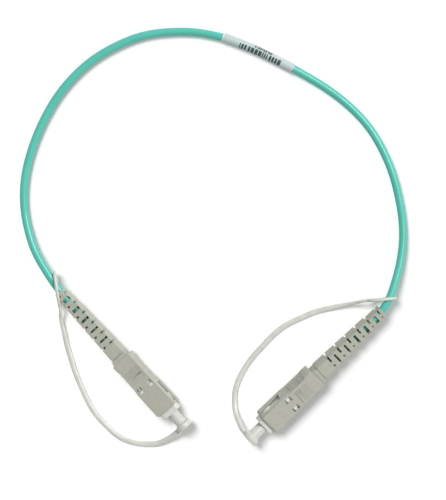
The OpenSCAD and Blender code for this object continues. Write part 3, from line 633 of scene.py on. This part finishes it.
def eyelet_loop(side):
    """Middle of the loop's strand, from the strap's end and back to it."""
    near, far = EYELET_ENDS[side]
    a = math.pi + 2 * math.pi * np.arange(LOOP_RINGS) / LOOP_RINGS
    flat = (near + far) / 2 + fullness(np.cos(a))[:, None] * (far - near) / 2
    return flat + fullness(np.sin(a))[:, None] * [0, 0, EYELET_RISE]


# %% One tether
def tether(side):
    """Strap from inside the cap's rim to the eyelet, and the eyelet, as one rounded cage."""
    near, far = EYELET_ENDS[side]
    along = unit(far - near)
    root = on_plug(side, [[LUG_X, -(CAP_RIM_D / 2 + r), 0] for r in ROOT_REACHES], CAP_DIP)
    lead_in = [near - 1.5 * EYELET_D * along, near - EYELET_D * along]
    route = np.concatenate([root, STRAP_ROUTE[side], lead_in])
    strap_line = smooth_line(route, STRAP_STEP, STRAP_Z)
    strap = sweep(strap_line, strap_cages(strap_line))
    loop = eyelet_loop(side)
    ahead = unit(np.roll(loop, -1, axis=0) - np.roll(loop, 1, axis=0))
    level = unit(np.cross([0, 0, 1], along))
    over = unit(np.cross(ahead, level))
    ring = cage_of(circle(EYELET_D / 2, STRAND_SIDES))
    # The strand is thickest where the strap meets it: 1 + ROOT_SWELL exp(-(rings / SWELL_RINGS)^2)
    rings_off = np.minimum(np.arange(LOOP_RINGS), LOOP_RINGS - np.arange(LOOP_RINGS))
    swell = 1 + ROOT_SWELL * np.exp(-(rings_off[:, None, None] / SWELL_RINGS) ** 2)
    strand = loop[:, None] + swell * (ring[:, :1] * level + ring[:, 1:] * over[:, None])
    # Sides 5 and 6 of the strand face the strap, so they are left open beside the first ring
    first = len(strap) * STRAND_SIDES
    strand_faces = quads(LOOP_RINGS, STRAND_SIDES, first=first, round_rows=True)
    row, side_no = np.divmod(np.arange(len(strand_faces)), STRAND_SIDES)
    strand_faces = strand_faces[~(np.isin(row, [0, LOOP_RINGS - 1]) & np.isin(side_no, [5, 6]))]
    last = LOOP_RINGS - 1
    rim = np.array([(0, 5), (last, 5), (last, 6), (last, 7), (0, 7), (1, 7), (1, 6), (1, 5)])
    rim = first + rim[:, 0] * STRAND_SIDES + rim[:, 1]
    end = (len(strap) - 1) * STRAND_SIDES + np.arange(STRAND_SIDES)
    return strap_line, loop, strap, strand, strand_faces, rim, end


# %% Both tethers
for side in ("left", "right"):
    strap_line, loop, strap, strand, strand_faces, rim, end = tether(side)
    points = np.concatenate([strap.reshape(-1, 3), strand.reshape(-1, 3)])
    # The rim starts at the corner that lies nearest to the strap's own first corner
    turns = [np.roll(order, k) for order in (rim, rim[::-1]) for k in range(len(rim))]
    rim = min(turns, key=lambda r: np.linalg.norm(points[r] - points[end], axis=1).sum())
    bridge = np.stack([end, np.roll(end, -1), np.roll(rim, -1), rim], axis=1)
    faces = [*quads(*strap.shape[:2]), np.arange(STRAND_SIDES), *strand_faces, *bridge]
    piece = new_piece(f"{side}_tether", points, faces, None, crisp=180)
    bm = bmesh.new()
    bm.from_mesh(piece.data)
    bmesh.ops.delete(bm, geom=[v for v in bm.verts if not v.link_faces], context="VERTS")
    bmesh.ops.recalc_face_normals(bm, faces=bm.faces)
    bm.to_mesh(piece.data)
    bm.free()
    rounding = piece.modifiers.new("rounding", "SUBSURF")
    rounding.levels = rounding.render_levels = 2
    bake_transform(piece)
    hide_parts(f"{side}_cap_tether")
    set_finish(piece, "cap_polyethylene")

# %% [markdown]
# ## Springs
#
# Each ferrule is pushed forwards by a coil spring of drawn steel wire. A coil is a helix
# round the plug's axis, so the wire's outline is set square to the helix at each point.
# When the ferrule floats back, a real spring shortens towards its rear end, which rests on
# the rear body. Here the spring is one fixed piece and keeps its length.

# %% Springs
WIRE_D = 0.35
SPRING_D = 3.75
SPRING_TURNS = 7
SPRING_FROM, SPRING_TO = 5.9, 14.95
RINGS_A_TURN = 40
WIRE_SIDES = 14
# Size of the wire's faces in mm, along it and round it
WIRE_FACE = (0.3, 0.08)


def spring(side):
    """Round wire along (-x, r cos a, r sin a), with x growing evenly from turn to turn."""
    share = np.linspace(0, 1, SPRING_TURNS * RINGS_A_TURN + 1)
    a = 2 * math.pi * SPRING_TURNS * share
    x = SPRING_FROM + WIRE_D / 2 + (SPRING_TO - SPRING_FROM - WIRE_D) * share
    out = np.stack([0 * a, np.cos(a), np.sin(a)], axis=1)
    helix = out * SPRING_D / 2 - np.outer(x, [1, 0, 0])
    third = np.cross(unit(np.gradient(helix, axis=0)), out)
    wire = circle(WIRE_D / 2, WIRE_SIDES)
    rings = helix[:, None] + wire[None, :, :1] * out[:, None] + wire[None, :, 1:] * third[:, None]
    uv = corner_uv(len(rings), WIRE_SIDES, *WIRE_FACE)
    piece = rod(f"{side}_coil_spring", on_plug(side, rings, PLUG_ROLL[side]), "root", uv=uv)
    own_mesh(piece)
    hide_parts(f"{side}_spring")
    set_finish(piece, "spring_steel")
    return piece


springs = [spring(side) for side in PLUG_ROLL]
print(len(springs), "springs of", SPRING_TURNS, "turns")

# %% [markdown]
# ## Moulded and turned parts
#
# The grips, plug frames, boots and caps are injection mouldings, and a moulding never has
# a knife edge. The CAD solids are exact but sharp, so each is copied, its facets are
# joined into whole faces, and a small bevel goes round every edge. The bevel is what
# catches the light. It is clamped where a face is too narrow for it, so that no edge
# runs over another. The metal parts are treated the same way, with a finer bevel, as
# turned parts are deburred.

# %% Bevelled copies of the CAD solids
BODY_OF = {
    "grip": "grip_body", "ferrule": "ferrule_body", "ferrule_flange": "ferrule_body",
    "dust_cap": "cap_body",
}
# Bevel width in mm and finish of each part
BEVELS = {
    "grip": (0.06, "beige_housing"), "plug_frame": (0.08, "white_frame"),
    "ferrule": (0.03, "zirconia"), "ferrule_flange": (0.03, "nickel_brass"),
    "rear_body": (0.05, "black_resin"), "inner_tube": (0.02, "white_tube"),
    "crimp_sleeve": (0.05, "crimp_aluminium"),
    "boot": (0.08, "beige_boot"), "dust_cap": (0.06, "cap_polyethylene"),
}
# Points nearer than this in mm are merged. Angles in degrees: flat faces, crisp edges
MERGE_GAP = 0.003
FLAT_ANGLE, CRISP_ANGLE = 0.5, 32
# Radius of a bore at distances behind the plug's front
BOOT_BORE = ([SLEEVE_END + 0.3, BOOT_END - 2], [2.5, 1.9])
OPEN = ([0, 1], [0, 0])


def mark_bevels(mesh, side, bore):
    """Bevel weight 1 on the sharp edges, but 0 on those that touch the bore."""
    points, ends = np.empty(3 * len(mesh.vertices)), np.empty(2 * len(mesh.edges), int)
    sharp = np.empty(len(mesh.edges), bool)
    mesh.vertices.foreach_get("co", points)
    mesh.edges.foreach_get("vertices", ends)
    mesh.attributes["sharp_edge"].data.foreach_get("value", sharp)
    offset = points.reshape(-1, 3) / MM - plug_front[side]
    behind = -offset @ plug_ahead[side]
    radius = np.linalg.norm(offset + np.outer(behind, plug_ahead[side]), axis=1)
    clear = radius > np.interp(behind, *bore)
    weight = sharp & clear[ends.reshape(-1, 2)].all(axis=1)
    layer = mesh.attributes.new("bevel_weight_edge", "FLOAT", "EDGE")
    layer.data.foreach_set("value", weight.astype(np.float32))


def bevelled(side, part):
    """Copy of a CAD solid with whole faces, small bevels and smooth rounds."""
    width, slot_name = BEVELS[part]
    node = f"{side}_{part}"
    mesh = frame["nodes"][node].data.copy()
    mesh.transform(frame["nodes"][node].matrix_world)
    mesh.materials.clear()
    bm = bmesh.new()
    bm.from_mesh(mesh)
    bmesh.ops.remove_doubles(bm, verts=bm.verts, dist=MERGE_GAP * MM)
    bmesh.ops.dissolve_limit(
        bm, angle_limit=math.radians(FLAT_ANGLE), verts=bm.verts, edges=bm.edges
    )
    bm.to_mesh(mesh)
    bm.free()
    mesh.shade_smooth()
    mesh.set_sharp_from_angle(angle=math.radians(CRISP_ANGLE))
    mark_bevels(mesh, side, BOOT_BORE if part == "boot" else OPEN)
    piece = bpy.data.objects.new(f"{node}_dressed", mesh)
    bpy.context.scene.collection.objects.link(piece)
    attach(piece, f"{side}_{BODY_OF[part]}" if part in BODY_OF else "root")
    edge = piece.modifiers.new("edge", "BEVEL")
    edge.width, edge.segments, edge.limit_method = width * MM, 2, "WEIGHT"
    edge.use_clamp_overlap, edge.harden_normals = True, True
    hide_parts(node)
    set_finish(piece, slot_name)
    return piece


parts = {(side, part): bevelled(side, part) for side in PLUG_ROLL for part in BEVELS}
print(len(parts), "bevelled parts")

# %% [markdown]
# ## Colours and nodes
#
# A colour is written as it is seen on a screen, in sRGB, and turned into the linear
# values that the renderer mixes. One small function adds a shader node and sets or links
# its inputs, so that each material below reads as a short recipe. All patterns use
# object coordinates or the piece's own UV map, and their scales are in real millimetres.

# %% Colour and node helpers
def linear(code):
    """sRGB hex such as b3b3a8 as linear red, green, blue and alpha."""
    s = np.array([int(code[i:i + 2], 16) for i in (0, 2, 4)]) / 255
    return [*np.where(s <= 0.04045, s / 12.92, ((s + 0.055) / 1.055) ** 2.4), 1.0]


def add_node(material, kind, inputs, **settings):
    """A shader node with its settings, and with its inputs set to values or linked to sockets."""
    node = material.node_tree.nodes.new(kind)
    for key, value in settings.items():
        setattr(node, key, value)
    for key, value in inputs.items():
        if isinstance(value, bpy.types.NodeSocket):
            material.node_tree.links.new(value, node.inputs[key])
        else:
            node.inputs[key].default_value = value
    return node


def new_material(name, **sockets):
    """Material with one Principled shader, whose constants sit on its own sockets."""
    material = bpy.data.materials.new(name)
    material.use_nodes = True
    material.node_tree.nodes.clear()
    shader = add_node(material, "ShaderNodeBsdfPrincipled", sockets)
    add_node(material, "ShaderNodeOutputMaterial", {"Surface": shader.outputs["BSDF"]})
    print(f"{name}: roughness {sockets['Roughness']}")
    return material, shader


def noise(material, size, stretch=(1, 1, 1), detail=2.0, uv=False):
    """Noise whose lumps are about size mm, stretched by factors along the axes."""
    coords = add_node(material, "ShaderNodeTexCoord", {})
    unit_size = 1 if uv else MM
    scale = [1 / (size * unit_size * s) for s in stretch]
    place = coords.outputs["UV" if uv else "Object"]
    mapped = add_node(material, "ShaderNodeMapping", {"Vector": place, "Scale": scale})
    inputs = {"Vector": mapped.outputs["Vector"], "Scale": 1.0, "Detail": detail}
    return add_node(material, "ShaderNodeTexNoise", inputs).outputs["Fac"]


def mottle(material, shader, pattern, dark, light, low=0.35, high=0.65):
    """Base colour that runs from dark to light with a pattern. Gives back the colour's socket."""
    ramp = add_node(material, "ShaderNodeValToRGB", {"Fac": pattern})
    for element, place, colour in zip(ramp.color_ramp.elements, (low, high), (dark, light)):
        element.position, element.color = place, linear(colour)
    material.node_tree.links.new(ramp.outputs["Color"], shader.inputs["Base Color"])
    return ramp.outputs["Color"]


def relief(material, shader, pattern, depth):
    """Bumps of a pattern, depth mm from its lowest to its highest point."""
    inputs = {"Height": pattern, "Strength": 1.0, "Distance": depth * MM}
    bump = add_node(material, "ShaderNodeBump", inputs)
    material.node_tree.links.new(bump.outputs["Normal"], shader.inputs["Normal"])


# %% [markdown]
# ## Housing, boot and frame plastics
#
# The grips are PBT, a stiff polyester that is moulded in a tool with a fine spark-eroded
# grain. The boots are a rubbery TPE of the same beige, a little duller. The plug frames
# are the same PBT without pigment, off-white and slightly see-through at the edges.

# %% PBT and TPE
beige_housing, shader = new_material("beige_housing", **{"Roughness": 0.42, "IOR": 1.55})
mottle(beige_housing, shader, noise(beige_housing, 1.5, detail=4.0), "adada0", "b3b3a7")
relief(beige_housing, shader, noise(beige_housing, 0.12), 0.004)

beige_boot, shader = new_material("beige_boot", **{"Roughness": 0.55, "IOR": 1.48})
mottle(beige_boot, shader, noise(beige_boot, 2.2, detail=4.0), "acaea0", "b3b5a7")
relief(beige_boot, shader, noise(beige_boot, 0.1), 0.006)

white_frame, shader = new_material(
    "white_frame",
    **{"Roughness": 0.38, "IOR": 1.55, "Subsurface Weight": 0.2, "Subsurface Radius": (1, 1, 0.9),
       "Subsurface Scale": 0.4 * MM},
)
mottle(white_frame, shader, noise(white_frame, 2.0), "d2d4cd", "dadbd5")
relief(white_frame, shader, noise(white_frame, 0.15), 0.003)

black_resin, shader = new_material("black_resin", **{"Roughness": 0.4})
mottle(black_resin, shader, noise(black_resin, 1.0, detail=3.0), "353637", "414243")
relief(black_resin, shader, noise(black_resin, 0.12), 0.004)

white_tube, shader = new_material("white_tube", **{"Roughness": 0.3, "IOR": 1.38})
mottle(white_tube, shader, noise(white_tube, 0.6, stretch=(4, 1, 1)), "e0e1dd", "ecedea")

# %% [markdown]
# ## Ceramic and metals
#
# The ferrule is zirconia, ground and polished to an even gloss. Its flange is brass
# turned on a lathe and plated with nickel. The spring is drawn stainless wire, and the
# crimp sleeve is soft aluminium. Turning and drawing leave fine lines, and stretched
# noise gives those of the drawn spring wire.

# %% Zirconia, nickel, steel and aluminium
zirconia, shader = new_material("zirconia", **{"Roughness": 0.14, "IOR": 2.1})
mottle(zirconia, shader, noise(zirconia, 0.8), "f0eee8", "f5f3ee")

nickel_brass, shader = new_material("nickel_brass", **{"Metallic": 1.0, "Roughness": 0.26})
mottle(nickel_brass, shader, noise(nickel_brass, 0.5, detail=3.0), "b3b1a8", "c4c2ba")
relief(nickel_brass, shader, noise(nickel_brass, 0.08), 0.002)

spring_steel, shader = new_material("spring_steel", **{"Metallic": 1.0, "Roughness": 0.3})
drawn_lines = noise(spring_steel, 0.4, stretch=(8, 1, 1), uv=True)
mottle(spring_steel, shader, drawn_lines, "8d9094", "a6a9ad")

crimp_aluminium, shader = new_material("crimp_aluminium", **{"Metallic": 1.0, "Roughness": 0.42})
mottle(crimp_aluminium, shader, noise(crimp_aluminium, 0.7, detail=3.0), "b4b7ba", "c6c9cc")
relief(crimp_aluminium, shader, noise(crimp_aluminium, 0.2), 0.006)

# %% [markdown]
# ## Cap and tether polyethylene
#
# Caps and tethers are LDPE without pigment. Light goes a little way into it, so thin
# parts look milky. The renderer's subsurface scattering does just that.

# %% LDPE
cap_polyethylene, shader = new_material(
    "cap_polyethylene",
    **{"Roughness": 0.34, "IOR": 1.51, "Subsurface Weight": 0.5, "Subsurface Radius": (1, 1, 0.95),
       "Subsurface Scale": 0.8 * MM},
)
mottle(cap_polyethylene, shader, noise(cap_polyethylene, 3.0), "cdcfc8", "d5d7d0")
relief(cap_polyethylene, shader, noise(cap_polyethylene, 0.4), 0.004)

# %% [markdown]
# ## Cable layers
#
# The jacket is extruded PVC, aqua for OM3 multimode fibre, with the faint drag marks of
# the die running along it. Aramid is golden yellow and made of fine filaments. The
# buffer on the fibre is a hard, smooth plastic.
#
# The jacket should look dark through the slots of a boot, and these lamps leave it too
# light. So its own colour is darkened there, which only stands in for shade. Its UV map
# counts the millimetres along the cable, and the distance from the nearer end tells how
# deep a point lies in a boot. The colour rises from SHADE_LEAST of itself at SHADE_FROM
# mm to the whole of it at SHADE_TO mm, inside the boot's tail.

# %% PVC, aramid and buffer
SHADE_FROM, SHADE_TO, SHADE_LEAST = 20.0, 29.0, 0.25

aqua_jacket, shader = new_material("aqua_jacket", **{"Roughness": 0.27, "IOR": 1.5})
drag_marks = noise(aqua_jacket, 2.5, stretch=(6, 1, 1), detail=3.0, uv=True)
aqua = mottle(aqua_jacket, shader, drag_marks, "4dbcaa", "54c1b0")
uv_map = add_node(aqua_jacket, "ShaderNodeTexCoord", {}).outputs["UV"]
from_start = add_node(aqua_jacket, "ShaderNodeSeparateXYZ", {"Vector": uv_map}).outputs["X"]
to_end = add_node(
    aqua_jacket, "ShaderNodeMath", {0: distances(jacket_line)[-1], 1: from_start},
    operation="SUBTRACT",
).outputs[0]
from_near_end = add_node(
    aqua_jacket, "ShaderNodeMath", {0: from_start, 1: to_end}, operation="MINIMUM"
).outputs[0]
shade = add_node(aqua_jacket, "ShaderNodeMapRange", {
    "Value": from_near_end, "From Min": SHADE_FROM, "From Max": SHADE_TO,
    "To Min": SHADE_LEAST, "To Max": 1.0,
})
shaded = add_node(
    aqua_jacket, "ShaderNodeVectorMath", {0: aqua, "Scale": shade.outputs[0]}, operation="SCALE"
)
aqua_jacket.node_tree.links.new(shaded.outputs[0], shader.inputs["Base Color"])
relief(aqua_jacket, shader, noise(aqua_jacket, 0.5, stretch=(12, 1, 1), uv=True), 0.01)

aramid, shader = new_material(
    "aramid", **{"Roughness": 0.55, "Sheen Weight": 0.3, "Sheen Roughness": 0.4}
)
filaments = noise(aramid, 0.1, stretch=(60, 1, 1), detail=3.0, uv=True)
mottle(aramid, shader, filaments, "c8a935", "ecd465")
relief(aramid, shader, filaments, 0.02)

fiber_buffer, shader = new_material("fiber_buffer", **{"Roughness": 0.3})
mottle(fiber_buffer, shader, noise(fiber_buffer, 1.2), "bfccc9", "c7d2cf")

# %% [markdown]
# ## Label, sleeve and ink
#
# The label is a matt white polyester film. Over the aqua jacket and under the sleeve it
# reads as a pale grey-blue. The sleeve is clear shrink tube: a thin, glossy skin with
# very little colour of its own.

# %% Film, sleeve and ink
label_white, shader = new_material("label_film", **{"Roughness": 0.5})
mottle(label_white, shader, noise(label_white, 1.8), "d9e3e3", "e1e9e9")

clear_skin, shader = new_material("clear_sleeve", **{"Roughness": 0.12, "IOR": 1.5, "Alpha": 0.09})
mottle(clear_skin, shader, noise(clear_skin, 3.0), "5f9090", "6a9a9a")

ink, shader = new_material("ink", **{"Roughness": 0.6})
mottle(ink, shader, noise(ink, 0.3, detail=3.0), "26282a", "303335")

# %% Give each piece its finish
MATERIALS = {
    "beige_housing": beige_housing, "beige_boot": beige_boot, "white_frame": white_frame,
    "black_resin": black_resin, "white_tube": white_tube, "zirconia": zirconia,
    "nickel_brass": nickel_brass, "spring_steel": spring_steel, "crimp_aluminium": crimp_aluminium,
    "cap_polyethylene": cap_polyethylene, "aqua_jacket": aqua_jacket, "aramid": aramid,
    "fiber_buffer": fiber_buffer, "label_film": label_white, "clear_sleeve": clear_skin,
}
for piece in bpy.data.objects:
    if piece.type == "MESH" and "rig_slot" in piece:
        piece.data.materials.clear()
        piece.data.materials.append(MATERIALS[piece["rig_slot"]])
label_print.data.materials[0] = ink
print("materials:", len(bpy.data.materials))

# %% [markdown]
# ## Table and light
#
# The cord lies on a plain white table in a bright, even room. One lamp high up on the left
# gives the table the soft shadows that fall to the lower right. A second lamp high up on
# the right shapes the parts and leaves the table alone, which Cycles calls light linking. The
# sky and one lamp together give a level of 1 on a surface that faces up, so a colour shows
# about as it is written. Rays from the camera and from glossy surfaces see the table and
# the sky a little brighter, as the white surroundings they stand for.

# %% Floor and sky
SKY_LEVEL = 0.38
TABLE_WHITE, TABLE_GLOW = 0.92, 0.12


def seen_ray(material):
    """1 for rays from the camera, a gloss or a clear surface, 0 for rays that carry light."""
    path = add_node(material, "ShaderNodeLightPath", {})
    total = path.outputs["Is Camera Ray"]
    for name in ("Is Glossy Ray", "Is Transmission Ray"):
        total = add_node(
            material, "ShaderNodeMath", {0: total, 1: path.outputs[name]},
            operation="ADD", use_clamp=True,
        ).outputs[0]
    return total


table_paint = bpy.data.materials.new("table")
table_paint.use_nodes = True
table_paint.node_tree.nodes.clear()
matt = add_node(table_paint, "ShaderNodeBsdfDiffuse", {"Color": [TABLE_WHITE] * 3 + [1]})
glow = add_node(
    table_paint, "ShaderNodeMath", {0: seen_ray(table_paint), 1: TABLE_GLOW}, operation="MULTIPLY"
)
lit = add_node(table_paint, "ShaderNodeEmission", {"Strength": glow.outputs[0]})
both = add_node(table_paint, "ShaderNodeAddShader", {0: matt.outputs[0], 1: lit.outputs[0]})
add_node(table_paint, "ShaderNodeOutputMaterial", {"Surface": both.outputs[0]})

bpy.ops.mesh.primitive_plane_add(size=4.0, location=(0, 0, -0.02 * MM))
table = bpy.context.object
table.name = "table"
table.data.materials.append(table_paint)

world = bpy.data.worlds.new("sky")
world.use_nodes = True
bpy.context.scene.world = world
sky_range = {"Value": seen_ray(world), "To Min": SKY_LEVEL, "To Max": 1.0}
level = add_node(world, "ShaderNodeMapRange", sky_range)
background = world.node_tree.nodes["Background"]
background.inputs["Color"].default_value = (1, 1, 1, 1)
world.node_tree.links.new(level.outputs[0], background.inputs["Strength"])


# %% Lamps
def sun_lamp(name, lean, angle, reach):
    """Sun whose light comes from the direction (x, y, 1).

    It lights the table alone (INCLUDE) or all but the table (EXCLUDE). A sun of strength s
    at a slant c lights a level surface by s c / pi, so s = pi level / c.
    """
    slant = 1 / math.hypot(*lean, 1)
    data = bpy.data.lights.new(name, "SUN")
    data.angle = math.radians(angle)
    data.energy = math.pi * (1 - SKY_LEVEL) / slant
    lamp = bpy.data.objects.new(name, data)
    lamp.rotation_euler = (0, math.acos(slant), math.atan2(lean[1], lean[0]))
    bpy.context.scene.collection.objects.link(lamp)
    lit_objects = bpy.data.collections.new(f"lit by {name}")
    lit_objects.objects.link(table)
    lit_objects.collection_objects[0].light_linking.link_state = reach
    lamp.light_linking.receiver_collection = lit_objects
    print(name, "strength:", round(data.energy, 2))


sun_lamp("shadow lamp", lean=(-0.42, 0.43), angle=26, reach="INCLUDE")
sun_lamp("shape lamp", lean=(0.55, 0.44), angle=30, reach="EXCLUDE")
bpy.context.scene.view_settings.view_transform = "Standard"
